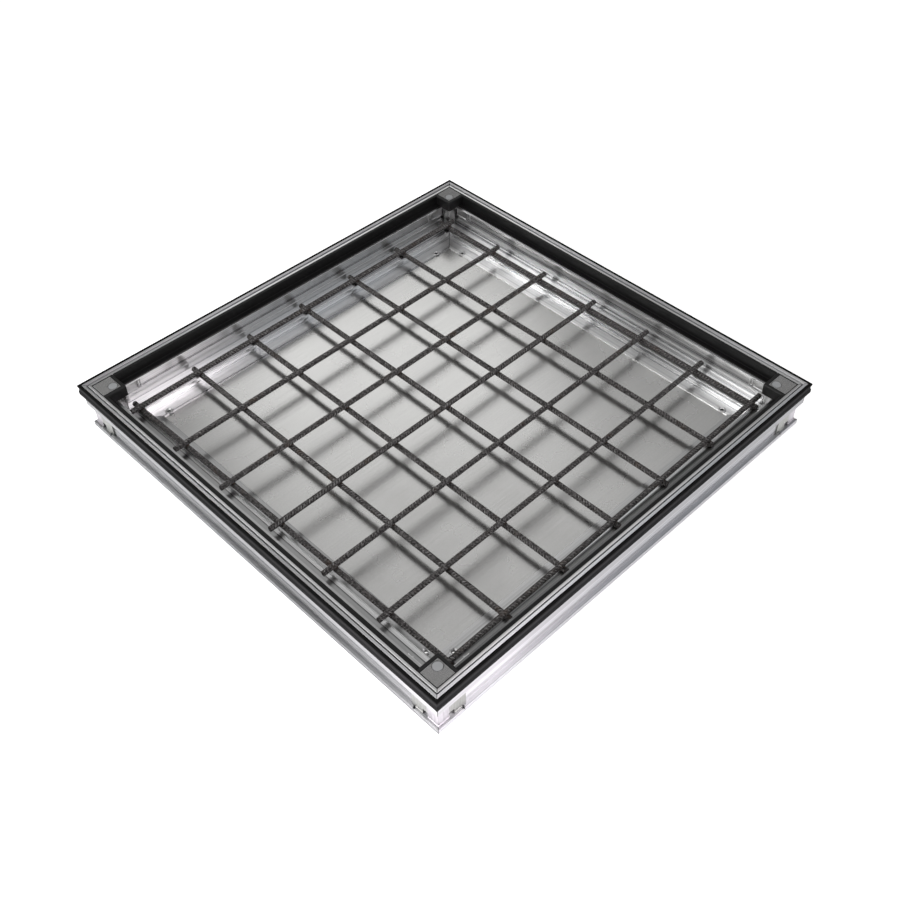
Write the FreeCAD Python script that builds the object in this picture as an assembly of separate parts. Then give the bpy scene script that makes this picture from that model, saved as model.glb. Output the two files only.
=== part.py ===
import FreeCAD, Part
import math
import os

os.makedirs("parts", exist_ok=True)

Vector = FreeCAD.Vector

# Recessed paving cover: an aluminium frame, a tray that lifts out of it and takes concrete
# or paving, locked corners, and a welded reinforcing mesh that lies loose in the tray.
# Millimetres. The square is centred on the Z axis and its underside is at Z = 0.
# Sections are given as (inset, depth): inset from the frame's outer face, depth from its top.

# Frame extrusion
frame_side = 700.0
rim_width = 3.9
jog_thickness = 2.5
web_inset = 6.7
web_thickness = 2.0
foot_inset = 1.3
foot_height = 7.3
foot_wall = 1.6
support_width = 37.3
support_thickness = 3.0
rib_thickness = 1.5
rib_height = 6.0
bearer_setback = 4.0
bearer_thickness = 2.0
web_groove_depth = 0.6
frame_groove_depths = (54.0, 62.0)
edge_radius = 0.4

# Edge strip, clipped on the frame's rim
edge_proud = 4.3
edge_height = 17.5
edge_channel_depth = 1.0
edge_channel_top = 3.0
edge_channel_height = 7.5
clip_height = 2.6
clip_reach = 1.5
clip_clearance = 0.15

# Seals
upper_seal_height = 2.0
upper_seal_clearance = 0.3
gasket_margin = 2.3
gasket_width = 6.0
gasket_height = 10.0
gasket_clearance = 0.2

# Tray extrusion
tray_clearance = 2.1
tray_drop = 1.0
strip_width = 3.5
tray_step_height = 30.0
tray_step_width = 4.2
tray_wall = 2.2
shoulder_margin = 3.4
wall_height = 30.7
panel_top = 14.2
panel_height = 8.5
panel_recess = 1.2
ledge_width = 26.8
ledge_groove_depth = 0.7
ledge_groove_insets = (19.4, 25.2)
lower_wall_height = 11.0
undercut = 1.2
flange_width = 20.0
flange_thickness = 1.5
chamber_web_inset = 31.0
mitre_gap = 0.5

# Liner strip, an angle that stands on the shoulder of the tray extrusion
liner_thickness = 4.6
liner_height = 16.3
liner_foot = 7.7
liner_foot_thickness = 1.5

# Corner housing with its cap and plug
housing_side = 33.8
housing_chamfer = 1.0
housing_radius = 1.6
cap_inset = 1.1
cap_side = 27.6
cap_thickness = 2.4
cap_sink = 0.4
cap_bevel = 0.6
cap_clearance = 0.1
plug_diameter = 12.6
plug_proud = 0.3
plug_clearance = 0.6
key_bore = 10.6

# Corner post, an angle that guards the way down to the lock bolt
post_reach = 14.8
post_thickness = 1.5

# Lock bolt and nut
bolt_diameter = 6.0
bolt_head_diameter = 10.0
bolt_head_height = 6.0
bolt_socket = 5.0
bolt_socket_depth = 3.0
bolt_head_gap = 0.1
bolt_hole = 7.0
bolt_end_gap = 0.5
nut_side = 13.0
nut_height = 5.0
nut_clearance = 0.2

# Inside corner bracket of the tray
bracket_thickness = 1.2
bracket_top_gap = 0.7
bracket_leg = 48.8
bracket_border = 1.6
bracket_border_height = 1.2
bracket_bridge = 1.5
bracket_end_lip = 2.4
end_slot_width = 3.4
post_slot_gap = 0.4
post_slot_width = 3.8

# Outside corner plate of the frame
plate_thickness = 2.0
plate_leg = 43.2
plate_top_gap = 0.5
plate_foot_gap = 0.7
plate_bend_radius = 3.0
plate_lip_reach = 0.8
plate_lip_height = 2.4
plate_lip_length = 36.5
window_start = 17.0
window_width = 8.0
window_height = 8.6
crimp_start = 35.0
crimp_length = 5.6
crimp_depth = 4.3

# Base plate and the tubular rivets that hold it
base_margin = 1.8
base_thickness = 1.5
rivet_head_diameter = 11.0
rivet_head_height = 1.4
rivet_dish_diameter = 8.2
rivet_shank_diameter = 6.4
rivet_bore = 4.8
rivet_tail_diameter = 8.6
rivet_tail_height = 1.0
rivet_clearance = 0.15
rivet_setbacks = {"south": 8.0, "east": 16.2, "north": 16.2, "west": 8.0}
rivet_distances = {"south_west": 83.0, "south_east": 83.0, "north_east": 98.0, "north_west": 83.0}

# Reinforcing mesh
bar_diameter = 8.0
bar_end_gap = 9.8
bar_overhang = 15.0
bar_count = 7
mesh_turn = 0.8
mesh_shift_x = 3.3
mesh_shift_y = -3.7
lower_bar_slide = 7.4
upper_bar_slide = -1.8
lower_bar_skew = -0.5
first_lower_bar_skew = 0.2
lower_bar_strays = {1: 3.3, 5: -1.2, 6: -1.5}
upper_bar_strays = {1: 1.0, 3: -1.2, 7: 2.0}

# Places that follow from the sizes above
half = frame_side / 2
web_inner = web_inset + web_thickness
support_inner = web_inner + support_width
plate_outer = web_inset - plate_thickness

tray_outer = rim_width + tray_clearance
strip_inner = tray_outer + strip_width
tray_lower_outer = tray_outer + tray_step_width
liner_inner = strip_inner + liner_thickness
foot_inner = liner_inner + liner_foot
wall_inset = foot_inner + shoulder_margin
ledge_inner = wall_inset + ledge_width
flange_inner = ledge_inner + flange_width
base_inset = tray_lower_outer + base_margin
gasket_inset = tray_lower_outer + gasket_margin
bearer_inset = support_inner - bearer_setback

step_depth = tray_drop + tray_step_height
jog_top = step_depth + upper_seal_height
jog_bottom = jog_top + jog_thickness
shoulder_depth = tray_drop + liner_height
panel_start = shoulder_depth + panel_top
panel_end = panel_start + panel_height
ledge_depth = shoulder_depth + wall_height
flange_top = ledge_depth + lower_wall_height
base_top = flange_top + flange_thickness
tray_bottom = base_top + base_thickness
support_top = tray_bottom + gasket_height
overall_height = support_top + support_thickness
foot_top = overall_height - foot_height
plate_bottom = foot_top - plate_foot_gap

housing_inner = strip_inner + housing_side
cap_outer = strip_inner + cap_inset
cap_inner = cap_outer + cap_side
cap_top = tray_drop + cap_sink
cap_bottom = cap_top + cap_thickness
post_inset = wall_inset + post_reach
lock_inset = wall_inset + bolt_head_gap + bolt_head_diameter / 2
nut_top = support_top - nut_height

bar_length = frame_side - 2 * (wall_inset + bar_end_gap)
bar_pitch = (bar_length - 2 * bar_overhang) / (bar_count - 1)

SIDES = ("south", "east", "north", "west")
CORNERS = ("south_west", "south_east", "north_east", "north_west")


def save(name, shape):
    """Write one sub-part to its own file."""
    shape.exportStep("parts/" + name + ".step")


def turned(shape, quarter_turns):
    """Copy of a shape turned about the Z axis by quarter turns."""
    copy = shape.copy()
    copy.rotate(Vector(0, 0, 0), Vector(0, 0, 1), 90 * quarter_turns)
    return copy


def round_wire(points):
    """Closed wire through 3-D corners given as (corner, radius); a radius above zero rounds it."""
    count = len(points)
    starts = []
    middles = []
    ends = []
    for i, (corner, radius) in enumerate(points):
        back = (points[i - 1][0] - corner).normalize()
        ahead = (points[(i + 1) % count][0] - corner).normalize()
        if radius <= 0:
            starts.append(corner)
            middles.append(None)
            ends.append(corner)
            continue
        half_angle = back.getAngle(ahead) / 2
        tangent = radius / math.tan(half_angle)
        bisector = (back + ahead).normalize()
        starts.append(corner + back * tangent)
        middles.append(corner + bisector * (radius / math.sin(half_angle) - radius))
        ends.append(corner + ahead * tangent)
    edges = []
    for i in range(count):
        if middles[i] is not None:
            edges.append(Part.Arc(starts[i], middles[i], ends[i]).toShape())
        following = starts[(i + 1) % count]
        edges.append(Part.LineSegment(ends[i], following).toShape())
    return Part.Wire(edges)


def section_face(points, start):
    """Face of a south side section at X = start, from (inset, depth) or (inset, depth, radius)."""
    corners = []
    for point in points:
        corner = Vector(start, point[0] - half, overall_height - point[1])
        radius = point[2] if len(point) > 2 else 0.0
        corners.append((corner, radius))
    return Part.Face(round_wire(corners))


def mitre_wedge(gap):
    """Everything between the two diagonals on the south side, short of them by half the gap."""
    reach = frame_side
    offset = gap / 2 * math.sqrt(2)
    corners = [
        Vector(-reach + offset, -reach, -reach),
        Vector(reach - offset, -reach, -reach),
        Vector(0, -offset, -reach),
    ]
    face = Part.Face(Part.makePolygon(corners + corners[:1]))
    return face.extrude(Vector(0, 0, 2 * reach))


def mitred_rail(points, chambers, gap):
    """South side extrusion with mitred ends."""
    face = section_face(points, -frame_side)
    for chamber in chambers:
        face = face.cut(section_face(chamber, -frame_side))
    rail = face.extrude(Vector(2 * frame_side, 0, 0))
    return rail.common(mitre_wedge(gap)).Solids[0]


def corner_prism(points, top, bottom):
    """Upright prism at the south west corner from plan corners (inset, inset, radius)."""
    corners = []
    for point in points:
        corner = Vector(point[0] - half, point[1] - half, overall_height - bottom)
        radius = point[2] if len(point) > 2 else 0.0
        corners.append((corner, radius))
    return Part.Face(round_wire(corners)).extrude(Vector(0, 0, bottom - top))


def corner_block(start, end, top, bottom):
    """Square block on the south west diagonal between two insets."""
    return corner_prism([(start, start), (end, start), (end, end), (start, end)], top, bottom)


def upright(diameter, inset_x, inset_y, top, bottom):
    """Upright cylinder at a place measured from the south west corner."""
    foot = Vector(inset_x - half, inset_y - half, overall_height - bottom)
    return Part.makeCylinder(diameter / 2, bottom - top, foot, Vector(0, 0, 1))


def mirrored_on_diagonal(shape):
    """Copy of a south west corner shape with its two legs exchanged."""
    return shape.mirror(Vector(0, 0, 0), Vector(1, -1, 0))


def notch(inset, depth_from, size):
    """V groove in an upright face that looks outwards."""
    return [
        (inset, depth_from + size),
        (inset + size, depth_from),
        (inset, depth_from - size),
    ]


def frame_rail():
    """Rim, jog, web, hollow foot and the support flange with its gasket channel and bearer."""
    channel_outer = gasket_inset - gasket_clearance
    channel_inner = gasket_inset + gasket_width + gasket_clearance
    rib_top = support_top - rib_height
    clip_top = edge_height / 2 - clip_height / 2
    points = [
        (0, 0, edge_radius),
        (rim_width, 0, edge_radius),
        (rim_width, jog_top),
        (web_inner, jog_top),
        (web_inner, support_top),
        (channel_outer - rib_thickness, support_top),
        (channel_outer - rib_thickness, rib_top),
        (channel_outer, rib_top),
        (channel_outer, support_top),
        (channel_inner, support_top),
        (channel_inner, rib_top),
        (channel_inner + rib_thickness, rib_top),
        (channel_inner + rib_thickness, support_top),
        (bearer_inset, support_top),
        (bearer_inset, tray_bottom),
        (bearer_inset + bearer_thickness, tray_bottom),
        (bearer_inset + bearer_thickness, support_top),
        (support_inner, support_top),
        (support_inner, overall_height),
        (foot_inset, overall_height),
        (foot_inset, foot_top, edge_radius),
        (web_inset, foot_top),
    ]
    for depth in reversed(frame_groove_depths):
        points += notch(web_inset, depth, web_groove_depth)
    points += [
        (web_inset, jog_bottom),
        (0, jog_bottom, edge_radius),
        (0, clip_top + clip_height),
        (clip_reach + clip_clearance, clip_top + clip_height),
        (clip_reach + clip_clearance, clip_top),
        (0, clip_top),
    ]
    chamber = [
        (foot_inset + foot_wall, foot_top + foot_wall),
        (web_inner - foot_wall, foot_top + foot_wall),
        (web_inner - foot_wall, overall_height - foot_wall),
        (foot_inset + foot_wall, overall_height - foot_wall),
    ]
    rail = mitred_rail(points, [chamber], 0.0)
    for cutter in (web_window(), foot_crimp()):
        rail = rail.cut(cutter).cut(cutter.mirror(Vector(0, 0, 0), Vector(1, 0, 0)))
    return rail.Solids[0]


def web_window():
    """Cutter for the window at the west end of the south side, through the web and the plate."""
    start = plate_outer + window_start
    outer = plate_outer - plate_lip_reach - 1
    return corner_prism(
        [
            (start, outer),
            (start + window_width, outer),
            (start + window_width, web_inner + 1),
            (start, web_inner + 1),
        ],
        plate_bottom - window_height,
        plate_bottom,
    )


def foot_crimp():
    """Three-cornered punch mark through the top of the foot, beside the end of the plate's leg."""
    start = plate_outer + crimp_start
    end = start + crimp_length
    return corner_prism(
        [
            (start, foot_inset + crimp_depth / 2),
            ((start + end) / 2, foot_inset - 1),
            (end, foot_inset + crimp_depth),
        ],
        foot_top - 1,
        foot_top + foot_wall + 1,
    )


def frame_corner_plate():
    """Bent steel angle on the outside of the web, with windows and a lip along its lower edge."""
    outer = plate_outer
    inner = web_inset
    end = outer + plate_leg
    top = jog_bottom + plate_top_gap
    angle = corner_prism(
        [
            (outer, outer, plate_bend_radius),
            (end, outer),
            (end, inner),
            (inner, inner),
            (inner, end),
            (outer, end),
        ],
        top,
        plate_bottom,
    )
    lip = section_face(
        [
            (outer + plate_thickness / 2, plate_bottom - plate_lip_height),
            (outer, plate_bottom - plate_lip_height),
            (outer - plate_lip_reach, plate_bottom - plate_lip_height / 2),
            (outer - plate_lip_reach, plate_bottom),
            (outer + plate_thickness / 2, plate_bottom),
        ],
        -frame_side,
    )
    lip = lip.extrude(Vector(frame_side / 2 + outer + plate_lip_length, 0, 0)).common(mitre_wedge(0.0))
    angle = angle.fuse([lip, mirrored_on_diagonal(lip)])
    window = web_window()
    return angle.cut(window).cut(mirrored_on_diagonal(window)).removeSplitter().Solids[0]


def edge_strip():
    """Plastic edge strip: lip, shallow channel and bead outside, a clip tongue inside."""
    clip_top = edge_height / 2 - clip_height / 2 + clip_clearance
    clip_bottom = edge_height / 2 + clip_height / 2 - clip_clearance
    channel_bottom = edge_channel_top + edge_channel_height
    slope = edge_channel_height / 4
    points = [
        (0, 0),
        (-edge_proud, 0, 0.7),
        (-edge_proud, edge_channel_top),
        (edge_channel_depth - edge_proud, edge_channel_top + slope, 0.8),
        (edge_channel_depth - edge_proud, channel_bottom - slope, 0.8),
        (-edge_proud, channel_bottom, 0.8),
        (-edge_proud, edge_height - 1.6, 0.8),
        (-edge_proud + 1.0, edge_height, 0.5),
        (0, edge_height),
        (0, clip_bottom),
        (clip_reach, clip_bottom),
        (clip_reach, clip_top),
        (0, clip_top),
    ]
    return mitred_rail(points, [], 0.0)


def square_ring(outer, width, top, bottom):
    """Mitred rubber loop of rectangular section."""
    inner = outer + width
    block = Part.makeBox(frame_side - 2 * outer, frame_side - 2 * outer, bottom - top)
    block.translate(Vector(outer - half, outer - half, overall_height - bottom))
    hole = Part.makeBox(frame_side - 2 * inner, frame_side - 2 * inner, bottom - top)
    hole.translate(Vector(inner - half, inner - half, overall_height - bottom))
    return block.cut(hole)


def tray_rail():
    """Top strip, shoulder, panelled wall, grooved ledge, lower wall and the base flange."""
    chamfer = panel_recess * 0.6
    lower_bottom = flange_top - undercut * 3
    points = [
        (tray_outer, tray_drop, edge_radius),
        (strip_inner, tray_drop, edge_radius),
        (strip_inner, shoulder_depth),
        (wall_inset, shoulder_depth, edge_radius),
        (wall_inset, panel_start),
        (wall_inset - panel_recess, panel_start + chamfer),
        (wall_inset - panel_recess, panel_end - chamfer),
        (wall_inset, panel_end),
        (wall_inset, ledge_depth),
    ]
    for groove in ledge_groove_insets:
        middle = wall_inset + groove
        points += [
            (middle - ledge_groove_depth / 2, ledge_depth),
            (middle, ledge_depth + ledge_groove_depth),
            (middle + ledge_groove_depth / 2, ledge_depth),
        ]
    points += [
        (ledge_inner, ledge_depth, edge_radius),
        (ledge_inner, ledge_depth + undercut),
        (ledge_inner - undercut, ledge_depth + 2 * undercut),
        (ledge_inner - undercut, lower_bottom - undercut),
        (ledge_inner, lower_bottom),
        (ledge_inner, flange_top),
        (flange_inner, flange_top, edge_radius),
        (flange_inner, base_top),
        (tray_lower_outer, base_top),
        (tray_lower_outer, step_depth),
        (tray_outer, step_depth),
    ]
    lower_chamber_outer = tray_lower_outer + tray_wall
    upper_chamber = [
        (tray_outer + tray_wall, shoulder_depth + tray_wall),
        (wall_inset - panel_recess - tray_wall, shoulder_depth + tray_wall),
        (wall_inset - panel_recess - tray_wall, ledge_depth - tray_wall),
        (lower_chamber_outer, ledge_depth - tray_wall),
        (lower_chamber_outer, step_depth - tray_wall),
        (tray_outer + tray_wall, step_depth - tray_wall),
    ]
    lower_chambers = []
    for start, end in (
        (lower_chamber_outer, chamber_web_inset - tray_wall / 2),
        (chamber_web_inset + tray_wall / 2, ledge_inner - undercut - tray_wall),
    ):
        lower_chambers.append(
            [
                (start, ledge_depth + tray_wall),
                (end, ledge_depth + tray_wall),
                (end, base_top - tray_wall),
                (start, base_top - tray_wall),
            ]
        )
    rail = mitred_rail(points, [upper_chamber] + lower_chambers, mitre_gap)
    for cutter in (bolt_clearance(), post_slot(wall_inset - panel_recess - tray_wall - 1, panel_end)):
        rail = rail.cut(cutter).cut(cutter.mirror(Vector(0, 0, 0), Vector(1, 0, 0)))
    return rail.Solids[0]


def bolt_clearance():
    """Clearance hole of the lock bolt in the south west corner."""
    return upright(bolt_hole, lock_inset, lock_inset, ledge_depth - 1, tray_bottom + 1)


def post_slot(outer, bottom):
    """Cutter for the slot beside the post on the south side, from an inset inwards."""
    start = post_inset + post_slot_gap
    inner = wall_inset + bracket_thickness + bracket_border_height + 1
    return corner_prism(
        [(start, outer), (start + post_slot_width, outer), (start + post_slot_width, inner), (start, inner)],
        shoulder_depth + bracket_top_gap + bracket_bridge,
        bottom,
    )


def rivet_places(side):
    """Places of a side's two rivets, as insets from the frame's west and south sides."""
    turn = SIDES.index(side)
    start = rivet_distances[CORNERS[turn]]
    end = frame_side - rivet_distances[CORNERS[(turn + 1) % 4]]
    places = []
    for along in (start, end):
        x, y = along - half, ledge_inner + rivet_setbacks[side] - half
        for _ in range(turn):
            x, y = -y, x
        places.append((x + half, y + half))
    return places


def rivet_holes(side):
    """Holes for a side's rivets through the flange and the base plate."""
    diameter = rivet_shank_diameter + 2 * rivet_clearance
    return [upright(diameter, x, y, flange_top - 1, tray_bottom + 1) for x, y in rivet_places(side)]


def liner_strip():
    """Plastic angle along the inside of the top strip, cut square between the housings."""
    points = [
        (strip_inner, tray_drop),
        (liner_inner, tray_drop, 0.8),
        (liner_inner, shoulder_depth - liner_foot_thickness, 0.8),
        (foot_inner, shoulder_depth - liner_foot_thickness, 0.6),
        (foot_inner, shoulder_depth),
        (strip_inner, shoulder_depth),
    ]
    length = frame_side - 2 * housing_inner
    return section_face(points, -length / 2).extrude(Vector(length, 0, 0))


def corner_housing():
    """Moulded block in the corner, with a seat for the cap and a bore for the key."""
    outer = strip_inner
    inner = housing_inner
    body = corner_prism(
        [(outer, outer), (inner, outer), (inner, inner, housing_radius), (outer, inner)],
        tray_drop,
        shoulder_depth,
    )
    bevel_edges = []
    for edge in body.Edges:
        middle = edge.valueAt((edge.FirstParameter + edge.LastParameter) / 2)
        near_top = abs(middle.z - (overall_height - tray_drop)) < 1e-6
        inside = max(middle.x, middle.y) > inner - half - housing_radius
        if near_top and inside:
            bevel_edges.append(edge)
    body = body.makeChamfer(housing_chamfer, bevel_edges)
    seat = corner_block(cap_outer - cap_clearance, cap_inner + cap_clearance, tray_drop - 1, cap_bottom)
    bore = upright(key_bore, lock_inset, lock_inset, cap_bottom - 1, shoulder_depth + 1)
    return body.cut(seat).cut(bore)


def corner_cap():
    """Square plastic cap with a bevelled edge and a round hole for its plug."""
    plate = corner_block(cap_outer, cap_inner, cap_top, cap_bottom)
    top_z = overall_height - cap_top
    rim = [edge for edge in plate.Edges if abs(edge.CenterOfMass.z - top_z) < 1e-6]
    plate = plate.makeChamfer(cap_bevel, rim)
    diameter = plug_diameter + 2 * plug_clearance
    return plate.cut(upright(diameter, lock_inset, lock_inset, cap_top - 1, cap_bottom + 1))


def cap_plug():
    """Round plug over the key bore, slightly crowned at its rim."""
    plug = upright(plug_diameter, lock_inset, lock_inset, cap_top - plug_proud, cap_bottom)
    top_z = overall_height - cap_top + plug_proud
    rim = [edge for edge in plug.Edges if abs(edge.CenterOfMass.z - top_z) < 1e-6]
    return plug.makeFillet(min(cap_bevel, cap_thickness / 2), rim)


def corner_post():
    """Bent angle that stands on the ledge and closes the corner under the housing."""
    outer = post_inset
    back = wall_inset + bracket_thickness
    inner = outer - post_thickness
    return corner_prism(
        [(outer, outer, 0.6), (back, outer), (back, inner), (inner, inner), (inner, back), (outer, back)],
        shoulder_depth,
        ledge_depth,
    )


def lock_bolt():
    """Socket head screw that stands on the ledge and reaches the nut in the frame."""
    head = upright(bolt_head_diameter, lock_inset, lock_inset, ledge_depth - bolt_head_height, ledge_depth)
    shank = upright(bolt_diameter, lock_inset, lock_inset, ledge_depth, support_top - bolt_end_gap)
    radius = bolt_socket / math.sqrt(3)
    top = ledge_depth - bolt_head_height
    corners = []
    for i in range(6):
        angle = math.radians(60 * i)
        x = lock_inset - half + radius * math.cos(angle)
        y = lock_inset - half + radius * math.sin(angle)
        corners.append(Vector(x, y, overall_height - top - bolt_socket_depth))
    socket = Part.Face(Part.makePolygon(corners + corners[:1]))
    socket = socket.extrude(Vector(0, 0, bolt_socket_depth + 1))
    return head.fuse(shank).cut(socket).removeSplitter().Solids[0]


def lock_nut():
    """Square nut on the support flange, under the bolt."""
    start = lock_inset - nut_side / 2
    block = corner_block(start, start + nut_side, nut_top, support_top)
    bore = upright(bolt_diameter + 2 * nut_clearance, lock_inset, lock_inset, nut_top - 1, support_top + 1)
    return block.cut(bore)


def bracket_leg_outline(along_from, along_to, thickness, top, bottom):
    """Block of the bracket's south leg, on the wall's face between two distances from the corner."""
    return corner_prism(
        [
            (wall_inset + along_from, wall_inset),
            (wall_inset + along_to, wall_inset),
            (wall_inset + along_to, wall_inset + thickness),
            (wall_inset + along_from, wall_inset + thickness),
        ],
        top,
        bottom,
    )


def tray_corner_bracket():
    """Steel angle on the inside of the walls; each leg has a raised edge and two slots."""
    top = shoulder_depth + bracket_top_gap
    bottom = panel_start
    foot_start = post_inset + post_slot_gap + post_slot_width - wall_inset
    slot_to = bracket_leg - bracket_end_lip
    slot_from = slot_to - end_slot_width
    proud = bracket_thickness + bracket_border_height
    leg = bracket_leg_outline(0, bracket_leg, bracket_thickness, top, bottom)
    foot = bracket_leg_outline(foot_start, slot_from, proud, bottom - bracket_border, bottom)
    end = bracket_leg_outline(slot_from - bracket_border, slot_from, proud, top, bottom)
    end_slot = bracket_leg_outline(slot_from, slot_to, proud, top + bracket_bridge, bottom - bracket_bridge)
    leg = leg.fuse([foot, end]).cut(end_slot).cut(post_slot(wall_inset, bottom))
    return leg.fuse(mirrored_on_diagonal(leg)).removeSplitter().Solids[0]


def base_plate():
    """Flat sheet under the tray, with the holes of the bolts and the rivets."""
    width = frame_side - 2 * base_inset
    plate = Part.makeBox(width, width, base_thickness)
    plate.translate(Vector(-width / 2, -width / 2, overall_height - tray_bottom))
    holes = [turned(bolt_clearance(), turn) for turn in range(4)]
    for side in SIDES:
        holes += rivet_holes(side)
    return plate.cut(holes)


def rivet(x, y):
    """Tubular rivet turned from its half section: dished head, shank through both sheets, rolled tail."""
    head = rivet_head_diameter / 2
    dish = rivet_dish_diameter / 2
    shank = rivet_shank_diameter / 2
    tail = rivet_tail_diameter / 2
    bore = rivet_bore / 2
    head_top = flange_top - rivet_head_height
    tail_bottom = tray_bottom + rivet_tail_height
    outline = [
        (bore, tail_bottom, 0),
        (tail, tail_bottom, 0.3),
        (tail, tray_bottom, 0),
        (shank, tray_bottom, 0),
        (shank, flange_top, 0),
        (head, flange_top, 0),
        (head, head_top, rivet_head_height * 0.6),
        (dish, head_top, 0.3),
        (bore, flange_top, 0),
    ]
    corners = []
    for radial, depth, rounding in outline:
        corners.append((Vector(x - half + radial, y - half, overall_height - depth), rounding))
    axis = Vector(x - half, y - half, 0)
    return Part.Face(round_wire(corners)).revolve(axis, Vector(0, 0, 1), 360)


def mesh_bar(offset, depth, slide):
    """Bar along X at a distance from the mesh's middle, before the mesh is laid in place."""
    start = Vector(slide - bar_length / 2, offset, overall_height - depth)
    return Part.makeCylinder(bar_diameter / 2, bar_length, start, Vector(1, 0, 0))


def laid(shape):
    """Shape of the mesh turned and shifted to where the mesh lies in the tray."""
    shape.rotate(Vector(0, 0, 0), Vector(0, 0, 1), mesh_turn)
    shape.translate(Vector(mesh_shift_x, mesh_shift_y, 0))
    return shape


# Pieces that repeat on the four sides
for maker, stem in ((frame_rail, "frame_rail"), (edge_strip, "edge_strip"), (liner_strip, "liner_strip")):
    piece = maker()
    for turn, side in enumerate(SIDES):
        save(stem + "_" + side, turned(piece, turn))
undrilled = tray_rail()
for turn, side in enumerate(SIDES):
    save("tray_rail_" + side, turned(undrilled, turn).cut(rivet_holes(side)).Solids[0])

# Pieces that repeat in the four corners
for maker, stem in (
    (frame_corner_plate, "frame_corner_plate"),
    (tray_corner_bracket, "tray_corner_bracket"),
    (corner_housing, "corner_housing"),
    (corner_cap, "corner_cap"),
    (cap_plug, "cap_plug"),
    (corner_post, "corner_post"),
):
    piece = maker()
    for turn, corner in enumerate(CORNERS):
        save(stem + "_" + corner, turned(piece, turn))

# Fasteners, each kind as one group
for maker, stem in ((lock_bolt, "lock_bolts"), (lock_nut, "lock_nuts")):
    piece = maker()
    save(stem, Part.makeCompound([turned(piece, turn) for turn in range(4)]))
rivets = [rivet(x, y) for side in SIDES for x, y in rivet_places(side)]
save("base_rivets", Part.makeCompound(rivets))

# Seals
upper_outer = rim_width + upper_seal_clearance
upper_width = web_inner - upper_seal_clearance - upper_outer
save("upper_seal", square_ring(upper_outer, upper_width, step_depth, jog_top))
save("seat_gasket", square_ring(gasket_inset, gasket_width, tray_bottom, support_top))

save("base_plate", base_plate())

# Mesh: the lower bars lie on the ledges, the upper bars cross them on top. A few bars stray
# from the even pitch, and the lower ones lie a little askew to the upper ones.
lower_depth = ledge_depth - bar_diameter / 2
upper_depth = lower_depth - bar_diameter
for number in range(bar_count):
    distance = (number - (bar_count - 1) / 2) * bar_pitch
    lower_place = distance + lower_bar_strays.get(number + 1, 0.0)
    upper_place = distance + upper_bar_strays.get(number + 1, 0.0)
    skew = first_lower_bar_skew if number == 0 else lower_bar_skew
    lower = mesh_bar(-lower_place, lower_depth, lower_bar_slide)
    lower.rotate(Vector(0, -lower_place, 0), Vector(0, 0, 1), skew)
    lower.rotate(Vector(0, 0, 0), Vector(0, 0, 1), 90)
    save("mesh_lower_bar_" + str(number + 1), laid(lower))
    save("mesh_upper_bar_" + str(number + 1), laid(mesh_bar(upper_place, upper_depth, upper_bar_slide)))
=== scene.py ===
import math

import bpy
from mathutils import Matrix, Vector


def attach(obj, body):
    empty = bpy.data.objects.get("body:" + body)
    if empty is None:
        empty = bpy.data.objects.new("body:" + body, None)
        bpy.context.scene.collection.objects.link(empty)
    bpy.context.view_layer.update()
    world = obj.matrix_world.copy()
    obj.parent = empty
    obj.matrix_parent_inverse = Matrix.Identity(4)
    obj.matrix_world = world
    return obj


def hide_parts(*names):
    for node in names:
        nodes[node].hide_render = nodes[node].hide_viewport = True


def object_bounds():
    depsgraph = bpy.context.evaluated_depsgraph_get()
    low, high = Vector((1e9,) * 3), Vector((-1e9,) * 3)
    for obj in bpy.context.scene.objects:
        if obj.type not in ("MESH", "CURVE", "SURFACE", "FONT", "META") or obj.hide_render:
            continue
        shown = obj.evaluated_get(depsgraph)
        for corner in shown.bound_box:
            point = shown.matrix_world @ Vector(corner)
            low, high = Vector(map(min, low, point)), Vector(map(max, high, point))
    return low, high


# Recessed paving cover. Metres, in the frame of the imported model.

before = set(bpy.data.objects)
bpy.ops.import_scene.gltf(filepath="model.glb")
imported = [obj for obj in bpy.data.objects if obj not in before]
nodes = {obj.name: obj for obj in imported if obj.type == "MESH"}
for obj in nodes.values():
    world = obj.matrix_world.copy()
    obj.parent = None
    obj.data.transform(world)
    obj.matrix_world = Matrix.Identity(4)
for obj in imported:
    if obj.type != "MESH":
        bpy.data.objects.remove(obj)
cad_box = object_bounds()
bpy.ops.object.select_all(action="DESELECT")

MM = 0.001
SIDES = ("south", "east", "north", "west")


def grey(tone):
    """Neutral colour of a tone."""
    return (tone, tone, tone)


# Sizes that the finishes follow, in millimetres; half the side is the frame's, without its edge strip

EDGE_STRIP_PROUD = 4.3
HALF_SIDE = cad_box[1][0] / MM - EDGE_STRIP_PROUD
DEPTH = cad_box[1][2] / MM
CAP_INSET = 24.4
CAP_MIDDLE = HALF_SIDE - CAP_INSET

# Ranges that a finish's zones are laid over, in millimetres

INSET_RANGE = 60.0
BRACKET_RANGE = 60.0
PLATE_RANGE = 50.0
CAP_RANGE = 14.0
RIVET_RANGE = 20.0

# Camera: its place, its right hand, where it looks, its lens in millimetres and its shift

CAMERA_PLACE = (-0.8015, -0.8603, 1.1572)
CAMERA_RIGHT = (0.7071, -0.7073, -0.0030)
CAMERA_AHEAD = (0.4909, 0.4939, -0.7178)
CAMERA_LENS = 46.87
CAMERA_SHIFT = (-0.0253, 0.0005)


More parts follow.
